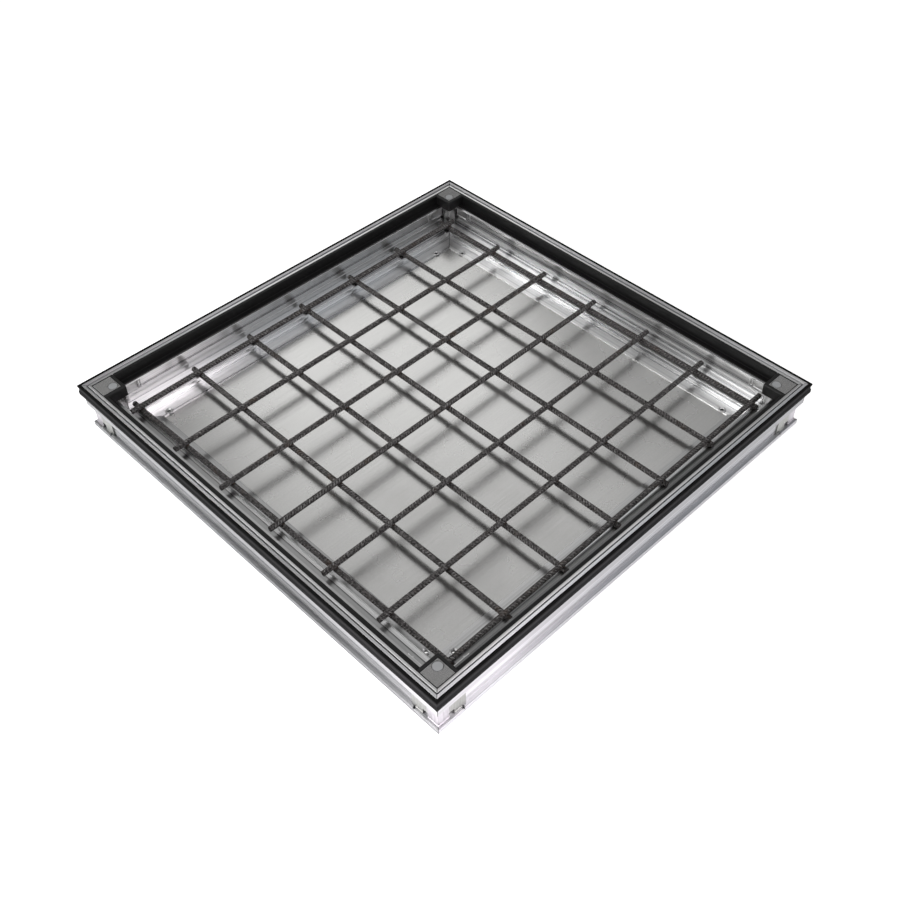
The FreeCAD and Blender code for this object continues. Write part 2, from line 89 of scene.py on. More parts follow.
def place_camera():
    """The photograph's view: from above the south west corner, looking down at the north east one."""
    data = bpy.data.cameras.new("camera")
    data.lens = CAMERA_LENS
    data.sensor_width = 36.0
    data.shift_x, data.shift_y = CAMERA_SHIFT
    data.clip_start = 0.05
    data.clip_end = 50.0
    camera = bpy.data.objects.new("camera", data)
    bpy.context.scene.collection.objects.link(camera)
    right = Vector(CAMERA_RIGHT).normalized()
    ahead = Vector(CAMERA_AHEAD).normalized()
    up = right.cross(ahead).normalized()
    turn = Matrix((right, up, -ahead)).transposed()
    camera.matrix_world = Matrix.Translation(CAMERA_PLACE) @ turn.to_4x4()
    bpy.context.scene.camera = camera


# Room: tints of its lamps

WHITE = (1.0, 1.0, 1.0)
PINK = (1.0, 0.94, 0.975)
LILAC = (1.0, 0.94, 0.99)
PALE_LILAC = (1.0, 0.95, 0.99)
BLUE = (0.86, 0.92, 1.0)


def softbox(name, place, aim, size, power, tint=WHITE):
    """Large soft light at a place, aimed at a point."""
    data = bpy.data.lights.new(name, "AREA")
    data.shape = "RECTANGLE"
    data.size, data.size_y = size
    data.energy = power
    data.color = tint
    lamp = bpy.data.objects.new(name, data)
    bpy.context.scene.collection.objects.link(lamp)
    lamp.location = place
    lamp.rotation_euler = (Vector(aim) - Vector(place)).to_track_quat("-Z", "Y").to_euler()
    lamp.visible_camera = False


def light_room():
    """Pale room light, soft boxes that the plate and the walls mirror, low ones for the near corner."""
    bpy.context.scene.view_settings.view_transform = "Standard"
    world = bpy.data.worlds.new("room")
    bpy.context.scene.world = world
    world.use_nodes = True
    background = world.node_tree.nodes["Background"]
    background.inputs["Color"].default_value = (*WHITE, 1.0)
    background.inputs["Strength"].default_value = 0.25
    middle = (0, 0, 0)
    softbox("softbox_back", (1.15, 1.62, 1.55), middle, (1.2, 0.7), 2.6)
    softbox("softbox_top", (1.05, 0.95, 2.15), middle, (2.0, 1.8), 3.8)
    softbox("softbox_left", (-1.07, 1.20, 1.05), (0.33, 0.05, 0), (0.09, 1.15), 4.4)
    softbox("softbox_left_dim", (-1.15, 0.20, 1.10), (0.33, -0.2, 0), (0.6, 1.2), 8.5)
    softbox("softbox_left_far", (-1.30, 1.98, 1.10), (0.33, 0.3, 0), (0.6, 0.9), 1.6)
    softbox("softbox_right", (0.38, -1.25, 1.12), (-0.25, 0.33, 0), (0.32, 1.2), 5.2, PINK)
    softbox("softbox_right_dim", (1.05, -1.30, 1.15), (0.1, 0.33, 0), (0.8, 1.3), 1.9, BLUE)
    softbox("softbox_right_far", (1.98, -1.30, 1.10), (0.3, 0.33, 0), (0.6, 0.9), 1.6)
    softbox("softbox_front", (-0.60, -0.60, 0.10), (-0.38, -0.38, 0), (0.45, 0.1), 0.75, LILAC)
    softbox("softbox_front_right", (-0.20, -0.60, 0.09), (-0.20, -0.36, 0), (0.2, 0.08), 0.28, LILAC)
    softbox("softbox_front_left", (-0.60, -0.27, 0.09), (-0.36, -0.27, 0), (0.2, 0.08), 0.4, PALE_LILAC)


def lay_floor():
    """Plain pale floor."""
    bpy.ops.mesh.primitive_plane_add(size=40.0, location=(0, 0, 0))
    floor = bpy.context.object
    floor.name = "floor"
    paint = bpy.data.materials.new("floor_white")
    paint.use_nodes = True
    shader = paint.node_tree.nodes["Principled BSDF"]
    shader.inputs["Base Color"].default_value = (*grey(0.93), 1.0)
    shader.inputs["Roughness"].default_value = 0.9
    shader.inputs["Specular IOR Level"].default_value = 0.1
    shader.inputs["Emission Color"].default_value = (*WHITE, 1.0)
    shader.inputs["Emission Strength"].default_value = 0.62
    floor.data.materials.append(paint)
    floor.select_set(False)


# Steps that make a finish

class Finish:
    """Material under construction: its node tree and its shader."""

    def __init__(self, name):
        self.material = bpy.data.materials.new(name)
        self.material.use_nodes = True
        self.tree = self.material.node_tree
        self.shader = self.tree.nodes["Principled BSDF"]
        self.coordinates = self.tree.nodes.new("ShaderNodeTexCoord")

    def node(self, kind, **settings):
        """New node with its settings."""
        made = self.tree.nodes.new(kind)
        for key, value in settings.items():
            setattr(made, key, value)
        return made

    def link(self, source, target):
        """Link a node's result to a socket."""
        self.tree.links.new(source, target)

    def feed(self, value, target):
        """Give a socket another node's result, a colour or a number."""
        if isinstance(value, bpy.types.NodeSocket):
            self.link(value, target)
        elif isinstance(value, tuple):
            target.default_value = (*value, 1.0)
        else:
            target.default_value = value

    def set(self, **values):
        """Set the shader's own sockets, each named with _ for a space."""
        for key, value in values.items():
            self.shader.inputs[key.replace("_", " ")].default_value = value

    def stretched(self, scale):
        """Object coordinates, scaled."""
        mapping = self.node("ShaderNodeMapping")
        mapping.inputs["Scale"].default_value = scale
        self.link(self.coordinates.outputs["Object"], mapping.inputs["Vector"])
        return mapping.outputs["Vector"]

    def clouds(self, scale, stretch=(1, 1, 1), detail=4.0, roughness=0.6):
        """Noise with features about 1 / scale metres large."""
        texture = self.node("ShaderNodeTexNoise")
        texture.inputs["Scale"].default_value = scale
        texture.inputs["Detail"].default_value = detail
        texture.inputs["Roughness"].default_value = roughness
        self.link(self.stretched(stretch), texture.inputs["Vector"])
        return texture.outputs["Fac"]

    def cells(self, scale):
        """Random shade for each crystal."""
        texture = self.node("ShaderNodeTexVoronoi")
        texture.inputs["Scale"].default_value = scale
        self.link(self.coordinates.outputs["Object"], texture.inputs["Vector"])
        split = self.node("ShaderNodeSeparateColor")
        self.link(texture.outputs["Color"], split.inputs["Color"])
        return split.outputs["Red"]

    def ramp(self, value, *stops):
        """Colours at places along a value, given as (place, colour)."""
        ramp = self.node("ShaderNodeValToRGB")
        elements = ramp.color_ramp.elements
        while len(elements) < len(stops):
            elements.new(0.5)
        for element, (position, colour) in zip(elements, stops):
            element.position = position
            element.color = (*colour, 1.0)
        self.link(value, ramp.inputs["Fac"])
        return ramp.outputs["Color"]

    def span(self, value, low, high, start=0.3, end=0.7):
        """Value between two limits, from a noise value."""
        mapped = self.node("ShaderNodeMapRange")
        mapped.inputs["From Min"].default_value = start
        mapped.inputs["From Max"].default_value = end
        mapped.inputs["To Min"].default_value = low
        mapped.inputs["To Max"].default_value = high
        self.link(value, mapped.inputs["Value"])
        return mapped.outputs["Result"]

    def mix(self, share, first, second, blend="MIX"):
        """Blend of two colours by a share."""
        mixed = self.node("ShaderNodeMix", data_type="RGBA", blend_type=blend)
        self.feed(share, mixed.inputs[0])
        self.feed(first, mixed.inputs[6])
        self.feed(second, mixed.inputs[7])
        return mixed.outputs[2]

    def product(self, first, *others):
        """Colours multiplied with each other."""
        for other in others:
            first = self.mix(1.0, first, other, "MULTIPLY")
        return first

    def arithmetic(self, operation, first, second=0.0):
        """Result of one arithmetic step on values or numbers."""
        step = self.node("ShaderNodeMath", operation=operation)
        self.feed(first, step.inputs[0])
        self.feed(second, step.inputs[1])
        return step.outputs["Value"]

    def along_axis(self, axis):
        """One of the object coordinates, in millimetres."""
        split = self.node("ShaderNodeSeparateXYZ")
        self.link(self.coordinates.outputs["Object"], split.inputs["Vector"])
        return self.arithmetic("MULTIPLY", split.outputs[axis], 1 / MM)

    def height(self):
        """Height over the ground in millimetres."""
        return self.along_axis("Z")

    def risen(self, low, high):
        """Share that rises from 0 to 1 between two heights in millimetres."""
        return self.span(self.height(), 0.0, 1.0, low, high)

    def from_middle(self, axis):
        """Distance in millimetres from the cover's middle plane across an axis."""
        return self.arithmetic("ABSOLUTE", self.along_axis(axis))

    def difference(self, first, second):
        """How far two values lie apart."""
        return self.arithmetic("ABSOLUTE", self.arithmetic("SUBTRACT", first, second))

    def mitre_distance(self):
        """Distance in millimetres from the cover's diagonals, where the mitre joints lie."""
        return self.difference(self.from_middle("X"), self.from_middle("Y"))

    def cap_distance(self):
        """Distance in millimetres from the middle of the nearest corner cap, measured square."""
        along_x = self.difference(self.from_middle("X"), CAP_MIDDLE)
        along_y = self.difference(self.from_middle("Y"), CAP_MIDDLE)
        return self.arithmetic("MAXIMUM", along_x, along_y)

    def zones(self, value, full, *stops):
        """Tones at places along a value in millimetres that runs up to a full size."""
        share = self.arithmetic("DIVIDE", value, full)
        return self.ramp(share, *[(place / full, grey(tone)) for place, tone in stops])

    def sheen_axis(self, axis):
        """Direction that the drawn out highlights are turned from."""
        direction = self.node("ShaderNodeCombineXYZ")
        direction.inputs[axis].default_value = 1.0
        self.link(direction.outputs["Vector"], self.shader.inputs["Tangent"])

    def colour(self, value):
        """Colour of the surface from a value."""
        self.link(value, self.shader.inputs["Base Color"])

    def gloss(self, value):
        """Roughness of the surface from a value."""
        self.link(value, self.shader.inputs["Roughness"])

    def relief(self, value, depth, strength=1.0):
        """Bump from a value."""
        bump = self.node("ShaderNodeBump")
        bump.inputs["Strength"].default_value = strength
        bump.inputs["Distance"].default_value = depth
        self.link(value, bump.inputs["Height"])
        self.link(bump.outputs["Normal"], self.shader.inputs["Normal"])


# Colours of the aluminium, by side, set apart per side as painted light and shade: its light bands and its
# dark bands

FRAME_LIT_AND_SHADED_COLOURS = {
    "south": ((0.57, 0.57, 0.585), (0.38, 0.38, 0.395)),
    "west": ((0.45, 0.45, 0.46), (0.28, 0.28, 0.29)),
    "north": ((0.70, 0.70, 0.71), (0.50, 0.50, 0.51)),
    "east": ((0.70, 0.70, 0.71), (0.50, 0.50, 0.51)),
}
TRAY_LIT_AND_SHADED_COLOURS = {
    "south": (grey(0.90), grey(0.62)),
    "west": (grey(0.90), grey(0.62)),
    "north": (grey(0.88), (0.46, 0.46, 0.47)),
    "east": (grey(0.92), (0.42, 0.42, 0.43)),
}

# Sheen of the aluminium: its roughness, how far it draws out highlights, its waves' depth in metres

FRAME_SHEEN = ((0.34, 0.42), 0.97, 0.03 * MM)
FAR_TRAY_SHEEN = ((0.26, 0.30), 0.90, 0.02 * MM)
NEAR_TRAY_SHEEN = ((0.32, 0.38), 0.80, 0.02 * MM)
TRAY_SHEENS = {
    "south": NEAR_TRAY_SHEEN,
    "west": NEAR_TRAY_SHEEN,
    "north": FAR_TRAY_SHEEN,
    "east": FAR_TRAY_SHEEN,
}

# Painted light and shade on the aluminium at heights over the ground, in millimetres: painted highlights
# and painted shade in bands on the frame's rails, painted shade low on the tray's walls and in a narrow
# band near their top

EVEN_HEIGHTS = ((0, 1.0), (DEPTH, 1.0))
FRAME_LIGHT_AND_SHADE_BY_HEIGHT = {
    "south": ((24, 1.2), (27, 1.0), (31, 1.0), (68, 1.0), (72, 1.6)),
    "west": ((24, 0.9), (27, 1.4), (31, 1.4), (68, 1.0), (72, 1.15)),
    "north": EVEN_HEIGHTS,
    "east": EVEN_HEIGHTS,
}
TRAY_LIGHT_AND_SHADE_BY_HEIGHT = {
    "south": ((17, 0.62), (19, 1.0), (54, 1.0), (56, 0.33), (59, 0.33), (61, 1.0)),
    "west": ((17, 0.62), (19, 1.0), (54, 1.0), (56, 0.65), (59, 0.65), (61, 1.0), (72, 1.0), (73, 0.85)),
    "north": EVEN_HEIGHTS,
    "east": EVEN_HEIGHTS,
}

# Painted light and shade on the tray's aluminium at insets from the frame's outer face, in millimetres:
# painted shade along lines on the ledges, painted highlights inward of them on the near sides

EVEN_INSETS = ((0, 1.0), (INSET_RANGE, 1.0))
FAR_LEDGE_SHADE_LINE = ((43.8, 1.0), (44.2, 0.6), (45.2, 0.6), (45.8, 1.0))
TRAY_LIGHT_AND_SHADE_BY_INSET = {
    "south": ((34, 1.0), (37, 1.0), (41, 0.8), (44, 0.35), (46.8, 0.35), (47.5, 1.3), (51.5, 1.3)),
    "west": (
        (34, 1.0), (37, 0.5), (39, 0.5), (41, 0.7),
        (43, 0.65), (44.4, 0.36), (44.9, 0.36), (45.5, 1.05),
    ),
    "north": FAR_LEDGE_SHADE_LINE,
    "east": FAR_LEDGE_SHADE_LINE,
}

# How fast the die lines change along an extrusion, as a share of how fast they change across it

DIE_STRETCH = 0.002


# Aluminium

def extruded_aluminium(name, along, lit_and_shaded_colours, sheen, painted_heights, painted_insets):
    """Extrusion: die lines that draw out highlights across them, bands, painted light and shade by height
    and inset, dark mitre joints.
    """
    light, dark = lit_and_shaded_colours
    rough, spread, wave = sheen
    across = "Y" if along == "X" else "X"
    drawn_out = (DIE_STRETCH, 1, 1) if along == "X" else (1, DIE_STRETCH, 1)
    finish = Finish(name)
    finish.set(Metallic=1.0, Anisotropic=spread, Anisotropic_Rotation=0.25)
    finish.sheen_axis(along)
    lines = finish.clouds(750.0, drawn_out, detail=2.0, roughness=0.5)
    bands = finish.clouds(120.0, drawn_out, roughness=0.55)
    waves = finish.clouds(130.0, drawn_out, detail=1.0, roughness=0.5)
    base = finish.ramp(bands, (0.38, dark), (0.52, light))
    streak = finish.ramp(lines, (0.35, grey(0.84)), (0.65, grey(1.0)))
    joint = finish.ramp(finish.mitre_distance(), (0.35, grey(0.08)), (0.6, grey(1.0)))
    # Painted light and shade: tones by height and by inset for how the lips, ledges and corners of the
    # profile are lit
    painted_by_height = finish.zones(finish.height(), DEPTH, *painted_heights)
    inset = finish.arithmetic("SUBTRACT", HALF_SIDE, finish.from_middle(across))
    painted_light_and_shade = finish.product(painted_by_height, finish.zones(inset, INSET_RANGE, *painted_insets))
    finish.colour(finish.product(base, streak, painted_light_and_shade, joint))
    finish.gloss(finish.span(bands, *rough))
    finish.relief(waves, wave)
    return finish.material


def post_aluminium():
    """Bent aluminium sheet of the corner posts, with a soft even sheen."""
    finish = Finish("post_aluminium")
    finish.set(Metallic=1.0)
    cloud = finish.clouds(70.0, (1, 1, 0.15))
    finish.colour(finish.ramp(cloud, (0.3, grey(0.6)), (0.7, grey(0.8))))
    finish.gloss(finish.span(cloud, 0.22, 0.34))
    return finish.material


# Base sheet and plated steel

def base_sheet():
    """Bright rolled sheet of the base, faintly brushed, with wiped patches and fine marks."""
    finish = Finish("base_sheet")
    finish.set(Metallic=1.0, Anisotropic=0.7)
    finish.sheen_axis("Y")
    rolling = finish.clouds(9.0, (1.2, 90, 90))
    wiped = finish.clouds(9.0, roughness=0.55)
    specks = finish.clouds(420.0, detail=3.0)
    base = finish.ramp(wiped, (0.3, (0.645, 0.642, 0.63)), (0.7, (0.72, 0.717, 0.705)))
    streak = finish.ramp(rolling, (0.3, grey(0.92)), (0.7, grey(1.0)))
    marks = finish.ramp(specks, (0.38, grey(0.955)), (0.6, grey(1.0)))
    finish.colour(finish.product(base, streak, marks))
    finish.gloss(finish.span(wiped, 0.24, 0.30))
    return finish.material


def corner_plate_zinc():
    """Zinc on the frame's corner plates, with a painted reflection: lilac white at the bend, greenish grey
    on the legs' ends.
    """
    white = (0.66, 0.63, 0.67)
    pale = (0.60, 0.575, 0.61)
    greenish = (0.42, 0.425, 0.405)
    finish = Finish("corner_plate_zinc")
    finish.set(Metallic=1.0)
    drawn = finish.clouds(420.0, (1, 1, 0.1), detail=3.0)
    cloud = finish.clouds(60.0)
    from_bend = finish.arithmetic("DIVIDE", finish.mitre_distance(), PLATE_RANGE)
    # Painted reflection: lilac white near the bend, shading to greenish grey towards the legs' ends
    base = finish.ramp(from_bend, (0.0, white), (0.30, pale), (0.40, greenish))
    marks = finish.ramp(drawn, (0.35, grey(0.78)), (0.6, grey(1.0)))
    finish.colour(finish.product(base, marks))
    finish.gloss(finish.span(cloud, 0.28, 0.42))
    finish.relief(cloud, 0.15 * MM, 0.3)
    return finish.material


def bolt_zinc():
    """Zinc on the bolts and nuts: small spangle, cloudy yellowish tint."""
    finish = Finish("bolt_zinc")
    finish.set(Metallic=1.0)
    cloud = finish.clouds(45.0)
    spangle = finish.ramp(finish.cells(700.0), (0.0, (0.55, 0.55, 0.52)), (1.0, (0.7, 0.7, 0.68)))
    finish.colour(finish.mix(finish.span(cloud, 0.0, 0.5), spangle, (0.4, 0.38, 0.3)))
    finish.gloss(finish.span(cloud, 0.25, 0.4))
    finish.relief(cloud, 0.15 * MM, 0.3)
    return finish.material


def bracket_steel():
    """Galvanised sheet of the tray's brackets, with painted highlights on the pressed up lower and end
    edges.
    """
    finish = Finish("bracket_steel")
    finish.set(Metallic=1.0)
    cloud = finish.clouds(45.0)
    base = finish.ramp(cloud, (0.3, grey(0.60)), (0.7, grey(0.76)))
    # Painted highlights along the bracket's lower edge and its end
    lower = finish.zones(finish.height(), DEPTH, (29.6, 1.4), (30.4, 1.0))
    end = finish.zones(finish.mitre_distance(), BRACKET_RANGE, (45.6, 1.0), (46.4, 1.4))
    finish.colour(finish.product(base, finish.mix(1.0, lower, end, "LIGHTEN")))
    finish.gloss(finish.span(cloud, 0.3, 0.42))
    return finish.material


def rivet_steel():
    """Plated steel of the rivets, with painted shade down the open bore."""
    finish = Finish("rivet_steel")
    finish.set(Metallic=1.0, Roughness=0.35)
    # Painted shade: near black low down in the bore, the plated tone above
    finish.colour(finish.zones(finish.height(), RIVET_RANGE, (15.6, 0.05), (16.2, 0.66)))
    return finish.material


# Plastics and rubber

def moulded_plastic(name, colour, rubbed_colour, rough, gloss=0.5):
    """Moulded or extruded plastic with a fine grain and slightly paler rubbed places."""
    finish = Finish(name)
    finish.set(Metallic=0.0, IOR=1.5, Specular_IOR_Level=gloss)
    rubbed = finish.clouds(30.0, detail=5.0)
    skin = finish.clouds(900.0, detail=2.0, roughness=0.5)
    finish.colour(finish.ramp(rubbed, (0.35, colour), (0.75, rubbed_colour)))
    finish.gloss(finish.span(rubbed, *rough))
    finish.relief(skin, 0.03 * MM, 0.3)
    return finish.material


def edge_plastic():
    """Black edge strip, with a paler band painted along its outer channel as its sheen."""
    finish = Finish("edge_plastic")
    finish.set(IOR=1.5, Specular_IOR_Level=0.06)
    rubbed = finish.clouds(40.0, detail=5.0)
    black = finish.ramp(rubbed, (0.35, grey(0.006)), (0.8, grey(0.012)))
    channel_sheen = finish.ramp(rubbed, (0.35, (0.020, 0.020, 0.021)), (0.8, (0.028, 0.028, 0.029)))
    # Painted sheen: paler band along the outer channel, from about 65 to 71 mm high
    channel = finish.arithmetic("SUBTRACT", finish.risen(64.5, 65.5), finish.risen(70.8, 71.8))
    finish.colour(finish.mix(channel, black, channel_sheen))
    finish.gloss(finish.span(rubbed, 0.55, 0.7))
    return finish.material


def cap_plastic():
    """Grained grey plastic of the corner caps, with a painted highlight along the rim."""
    finish = Finish("cap_plastic")
    finish.set(IOR=1.5, Specular_IOR_Level=0.35)
    grains = finish.clouds(1100.0, detail=2.0)
    rubbed = finish.clouds(30.0, detail=5.0)
    body = finish.ramp(rubbed, (0.35, (0.22, 0.22, 0.216)), (0.75, (0.27, 0.27, 0.266)))
    speckle = finish.ramp(grains, (0.38, grey(0.55)), (0.62, grey(1.35)))
    # Painted highlight along the cap's rim
    rim = finish.zones(finish.cap_distance(), CAP_RANGE, (12.6, 1.0), (13.1, 1.5))
    finish.colour(finish.product(body, speckle, rim))
    finish.gloss(finish.span(rubbed, 0.5, 0.65))
    finish.relief(grains, 0.1 * MM, 0.5)
    return finish.material


def seal_rubber():
    """Dull black rubber."""
    finish = Finish("seal_rubber")
    finish.set(Roughness=0.75, IOR=1.5)
    dust = finish.clouds(180.0)
    finish.colour(finish.ramp(dust, (0.4, grey(0.012)), (0.8, grey(0.03))))
    finish.relief(dust, 0.1 * MM, 0.4)
    return finish.material


# Steel of the mesh

def rusted(finish, steel, rust):
    """Steel with rust in the same patches on the bars and on their ribs."""
    patches = finish.clouds(38.0, detail=6.0, roughness=0.7)
    return finish.mix(finish.span(patches, 0.0, 0.55, 0.57, 0.75), steel, rust)


def bar_steel():
    """Mill scale on reinforcing steel: mottled dark scale, rust."""
    dark = (0.024, 0.022, 0.022)
    middling = (0.075, 0.071, 0.070)
    pale = (0.19, 0.183, 0.18)
    finish = Finish("bar_steel")
    finish.set(Metallic=0.0, IOR=1.3, Specular_IOR_Level=0.05)
    scale = finish.clouds(420.0)
    steel = finish.ramp(scale, (0.34, dark), (0.5, middling), (0.66, pale))
    finish.colour(rusted(finish, steel, (0.085, 0.055, 0.036)))
    finish.gloss(finish.span(scale, 0.6, 0.85))
    finish.relief(scale, 0.3 * MM, 0.6)
    return finish.material


def rib_steel():
    """Steel of the ribs, paler than the scale of the bars."""
    dark = (0.06, 0.056, 0.054)
    middling = (0.17, 0.164, 0.161)
    pale = (0.38, 0.372, 0.366)
    finish = Finish("rib_steel")
    finish.set(Metallic=0.0, IOR=1.4, Specular_IOR_Level=0.2)
    rib_mottle = finish.clouds(240.0, detail=5.0)
    steel = finish.ramp(rib_mottle, (0.38, dark), (0.5, middling), (0.65, pale))
    finish.colour(rusted(finish, steel, (0.15, 0.095, 0.06)))
    finish.gloss(finish.span(rib_mottle, 0.35, 0.6))
    return finish.material


def weld_steel():
    """Burnt and rusted metal of the welds."""
    black = (0.02, 0.015, 0.012)
    brown = (0.06, 0.035, 0.02)
    rust = (0.14, 0.075, 0.035)
    finish = Finish("weld_steel")
    finish.set(Metallic=0.2, IOR=1.5)
    burnt = finish.clouds(220.0, detail=6.0, roughness=0.7)
    finish.colour(finish.ramp(burnt, (0.3, black), (0.55, brown), (0.8, rust)))
    finish.gloss(finish.span(burnt, 0.5, 0.8))
    finish.relief(burnt, 0.3 * MM, 0.6)
    return finish.material


# Finishes of the nodes that keep their own shape

def dress(stem, material):
    """Give a finish to every node whose name starts with the stem."""
    for name, node in nodes.items():
        if name.startswith(stem):
            node.data.materials.clear()
            node.data.materials.append(material)
            for face in node.data.polygons:
                face.material_index = 0


def dress_rails():
    """Aluminium of the frame's and the tray's rails, drawn along each side, with each side's painted light
    and shade.
    """
    for side in SIDES:
        along = "X" if side in ("south", "north") else "Y"
        frame_metal = extruded_aluminium(
            "frame_aluminium_" + side,
            along,
            FRAME_LIT_AND_SHADED_COLOURS[side],
            FRAME_SHEEN,
            FRAME_LIGHT_AND_SHADE_BY_HEIGHT[side],
            EVEN_INSETS,
        )
        dress("frame_rail_" + side, frame_metal)
        tray_metal = extruded_aluminium(
            "tray_aluminium_" + side,
            along,
            TRAY_LIT_AND_SHADED_COLOURS[side],
            TRAY_SHEENS[side],
            TRAY_LIGHT_AND_SHADE_BY_HEIGHT[side],
            TRAY_LIGHT_AND_SHADE_BY_INSET[side],
        )
        dress("tray_rail_" + side, tray_metal)


def dress_plastics():
    """Plastics of the edge, of the liner and of the corners."""
    dress("edge_strip", edge_plastic())
    dress("liner_strip", moulded_plastic("liner_plastic", grey(0.006), grey(0.010), (0.35, 0.5), 0.25))
    dress("corner_housing", moulded_plastic("housing_plastic", grey(0.008), grey(0.013), (0.4, 0.55), 0.35))
    dress("corner_cap", cap_plastic())
    plug = moulded_plastic("plug_plastic", (0.34, 0.35, 0.355), (0.38, 0.39, 0.395), (0.4, 0.55))
    dress("cap_plug", plug)


def dress_metals():
    """Metals of the base, of the corners and of the fasteners."""
    dress("base_plate", base_sheet())
    dress("corner_post", post_aluminium())
    dress("tray_corner_bracket", bracket_steel())
    dress("frame_corner_plate", corner_plate_zinc())
    dress("base_rivets", rivet_steel())
    zinc = bolt_zinc()
    dress("lock_bolts", zinc)
    dress("lock_nuts", zinc)


def dress_seals():
    """Rubber of the seal and of the gasket."""
    rubber = seal_rubber()
    dress("upper_seal", rubber)
    dress("seat_gasket", rubber)


# Modelling steps

def alone(piece):
    """Select one piece and make it the active one."""
    bpy.ops.object.select_all(action="DESELECT")
    piece.select_set(True)
    bpy.context.view_layer.objects.active = piece


def applied(piece):
    """Put a piece's place, turn and scale into its mesh."""
    alone(piece)
    bpy.ops.object.transform_apply(location=True, rotation=True, scale=True)
    return piece


def modifier(piece, kind, **settings):
    """Add a modifier to a piece and apply it."""
    alone(piece)
    made = piece.modifiers.new(kind.lower(), kind)
    for key, value in settings.items():
        setattr(made, key, value)
    bpy.ops.object.modifier_apply(modifier=made.name)


def joined(pieces):
    """Join pieces into the first one."""
    bpy.ops.object.select_all(action="DESELECT")
    for piece in pieces:
        piece.select_set(True)
    bpy.context.view_layer.objects.active = pieces[0]
    bpy.ops.object.join()
    return pieces[0]


# Reinforcing mesh: its bars, its place in the tray, strays from the even pitch, turns in radians

BAR_COUNT = 7
BAR_LENGTH = 630 * MM
BAR_RADIUS = 4.0 * MM
BAR_PITCH = 100 * MM
MESH_SHIFT = (3.3 * MM, -3.7 * MM, 0)
MESH_TURN = math.radians(0.8)
MESH_LAID = Matrix.Translation(MESH_SHIFT) @ Matrix.Rotation(MESH_TURN, 4, "Z")
UPPER_BAR_Z = 39 * MM
LOWER_BAR_Z = 31 * MM
UPPER_BAR_SLIDE = -1.8 * MM
LOWER_BAR_SLIDE = 7.4 * MM
UPPER_BAR_STRAYS = {1: 1.0 * MM, 3: -1.2 * MM, 7: 2.0 * MM}
LOWER_BAR_STRAYS = {1: 3.3 * MM, 5: -1.2 * MM, 6: -1.5 * MM}
FIRST_LOWER_BAR_SKEW = math.radians(0.2)
LOWER_BAR_SKEW = math.radians(-0.5)
UPPER_BAR_ROLL = 0.8
LOWER_BAR_ROLL = 1.1
FIRST_LOWER_BAR_ROLL = 0.4

# Sheared ends of a bar: how far they are drawn in, how much more at the rim, rim, dish and slant

END_DRAWN_IN = 0.35 * MM
END_ROUNDING = 0.3 * MM
END_RIM = 0.5 * MM
END_DISH = 0.9 * MM
END_DISH_DEPTH = 0.25 * MM
END_SLANT = 0.10

# Ribs of a bar: pitch, first row's angle round it, each row's lean, sizes as shares of its radius

RIB_PITCH = 4.6 * MM
RIB_START = math.radians(20)
RIB_LEANS = (0.70, 0.70, -0.70)
RIB_ARC = 0.85
RIB_THICKNESS = 0.14
RIB_FOOT = 0.3
RIB_RISE = 0.09

# Lumps of weld metal: height, size, and turns in radians from one crossing to the next

WELD_Z = (UPPER_BAR_Z + LOWER_BAR_Z) / 2
WELD_RADIUS = 3.6 * MM
WELD_FLATNESS = 0.5
WELD_ROUGHNESS = 0.5 * MM
WELD_TURN_BY_ROW = 0.9
WELD_TURN_BY_COLUMN = 1.7


def bar_place(number, strays):
    """Place of a bar across the mesh."""
    return (number - (BAR_COUNT + 1) / 2) * BAR_PITCH + strays.get(number, 0.0)


def lower_bar_skew(number):
    """Angle by which a lower bar is off the square."""
    return FIRST_LOWER_BAR_SKEW if number == 1 else LOWER_BAR_SKEW


def bar_core(length, radius):
    """Round bar along X, its sheared ends slanted, dished and rounded off at the rim."""
    bpy.ops.mesh.primitive_cylinder_add(
        vertices=18,
        radius=radius,
        depth=length,
        rotation=(0, math.pi / 2, 0),
    )
    core = applied(bpy.context.object)
    bpy.ops.object.mode_set(mode="EDIT")
    bpy.ops.mesh.select_all(action="DESELECT")
    bpy.ops.object.mode_set(mode="OBJECT")
    for face in core.data.polygons:
        face.select = abs(face.normal.x) > 0.9
    bpy.ops.object.mode_set(mode="EDIT")
    bpy.ops.mesh.inset(thickness=END_RIM, depth=0)
    bpy.ops.mesh.inset(thickness=END_DISH, depth=-END_DISH_DEPTH)
    bpy.ops.object.mode_set(mode="OBJECT")
    for vertex in core.data.vertices:
        end = 1 if vertex.co.x > 0 else -1
        across = math.hypot(vertex.co.y, vertex.co.z) / radius
        vertex.co.x -= end * (END_DRAWN_IN + END_ROUNDING * across * across)
        vertex.co.x += end * END_SLANT * vertex.co.z
    return core


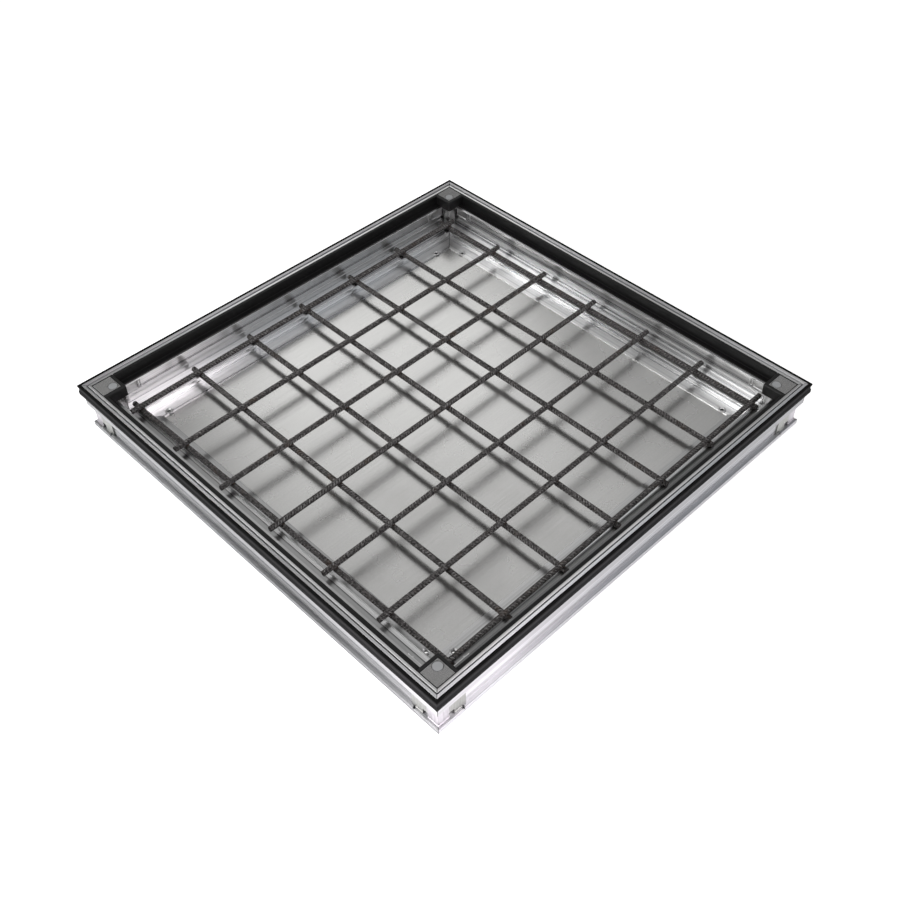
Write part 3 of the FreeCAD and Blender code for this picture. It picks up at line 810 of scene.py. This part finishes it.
def rib_row(length, radius, angle, lean):
    """Row of crescent ribs along a bar, on the side at an angle round it."""
    bpy.ops.mesh.primitive_torus_add(
        major_segments=16,
        minor_segments=5,
        major_radius=radius * RIB_ARC,
        minor_radius=radius * RIB_THICKNESS,
        rotation=(0, math.pi / 2, 0),
    )
    rib = applied(bpy.context.object)
    bpy.ops.object.mode_set(mode="EDIT")
    bpy.ops.mesh.select_all(action="DESELECT")
    bpy.ops.object.mode_set(mode="OBJECT")
    for vertex in rib.data.vertices:
        vertex.select = vertex.co.z < radius * RIB_FOOT
    bpy.ops.object.mode_set(mode="EDIT")
    bpy.ops.mesh.delete(type="VERT")
    bpy.ops.mesh.select_all(action="SELECT")
    bpy.ops.mesh.fill_holes(sides=0)
    bpy.ops.object.mode_set(mode="OBJECT")
    rib.rotation_euler = (0, 0, lean)
    rib.location = (-length / 2 + RIB_PITCH, 0, radius * RIB_RISE)
    applied(rib)
    modifier(
        rib,
        "ARRAY",
        count=int(length / RIB_PITCH) - 1,
        use_relative_offset=False,
        use_constant_offset=True,
        constant_offset_displace=(RIB_PITCH, 0, 0),
    )
    rib.rotation_euler = (angle, 0, 0)
    return applied(rib)


def ribbed_bar():
    """Reinforcing bar along X, centred on the origin, with three rows of ribs."""
    core = bar_core(BAR_LENGTH, BAR_RADIUS)
    core.data.materials.append(bar_steel())
    steel = rib_steel()
    rows = []
    for number, lean in enumerate(RIB_LEANS):
        angle = RIB_START + number * math.tau / len(RIB_LEANS)
        row = rib_row(BAR_LENGTH, BAR_RADIUS, angle, lean)
        row.data.materials.append(steel)
        rows.append(row)
    bar = joined([core] + rows)
    alone(bar)
    bpy.ops.object.shade_smooth_by_angle(angle=math.radians(50))
    return bar


def lay_bar(pattern, node, place, roll):
    """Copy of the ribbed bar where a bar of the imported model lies."""
    bar = pattern.copy()
    bar.data = pattern.data.copy()
    bar.name = node + "_ribbed"
    bpy.context.scene.collection.objects.link(bar)
    bar.matrix_world = MESH_LAID @ place @ Matrix.Rotation(roll, 4, "X")
    applied(bar)
    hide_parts(node)
    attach(bar, "root")


def lay_bars():
    """Upper bars along X over lower bars along Y, each rolled to another angle round itself."""
    pattern = ribbed_bar()
    for number in range(1, BAR_COUNT + 1):
        upper = Matrix.Translation((UPPER_BAR_SLIDE, bar_place(number, UPPER_BAR_STRAYS), UPPER_BAR_Z))
        lay_bar(pattern, "mesh_upper_bar_" + str(number), upper, UPPER_BAR_ROLL * (number - 1))
        lower = Matrix.Translation((bar_place(number, LOWER_BAR_STRAYS), 0, LOWER_BAR_Z))
        lower = lower @ Matrix.Rotation(math.radians(90) + lower_bar_skew(number), 4, "Z")
        lower = lower @ Matrix.Translation((LOWER_BAR_SLIDE, 0, 0))
        roll = FIRST_LOWER_BAR_ROLL + LOWER_BAR_ROLL * (number - 1)
        lay_bar(pattern, "mesh_lower_bar_" + str(number), lower, roll)
    bpy.data.objects.remove(pattern)


def weld_lump():
    """Squeezed metal between two crossing bars, centred on the origin."""
    bpy.ops.mesh.primitive_ico_sphere_add(subdivisions=2, radius=WELD_RADIUS)
    lump = bpy.context.object
    lump.scale = (1.0, 1.0, WELD_FLATNESS)
    applied(lump)
    bpy.ops.object.mode_set(mode="EDIT")
    bpy.ops.mesh.select_all(action="SELECT")
    bpy.ops.transform.vertex_random(offset=WELD_ROUGHNESS, uniform=0.4, seed=3)
    bpy.ops.object.mode_set(mode="OBJECT")
    modifier(lump, "SUBSURF", levels=1, render_levels=1)
    lump.data.materials.append(weld_steel())
    return lump


def lay_welds():
    """One lump of weld metal at each crossing of the bars."""
    lump = weld_lump()
    spots = []
    for row in range(BAR_COUNT):
        for column in range(BAR_COUNT):
            spot = lump.copy()
            spot.data = lump.data.copy()
            bpy.context.scene.collection.objects.link(spot)
            y = bar_place(row + 1, UPPER_BAR_STRAYS)
            x = bar_place(column + 1, LOWER_BAR_STRAYS) - y * math.tan(lower_bar_skew(column + 1))
            turn = Matrix.Rotation(WELD_TURN_BY_ROW * row + WELD_TURN_BY_COLUMN * column, 4, "Z")
            spot.matrix_world = MESH_LAID @ Matrix.Translation((x, y, WELD_Z)) @ turn
            applied(spot)
            spots.append(spot)
    bpy.data.objects.remove(lump)
    welds = joined(spots)
    welds.name = "mesh_welds"
    alone(welds)
    bpy.ops.object.shade_smooth()
    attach(welds, "root")


place_camera()
light_room()
lay_floor()
dress_rails()
dress_plastics()
dress_metals()
dress_seals()
lay_bars()
lay_welds()
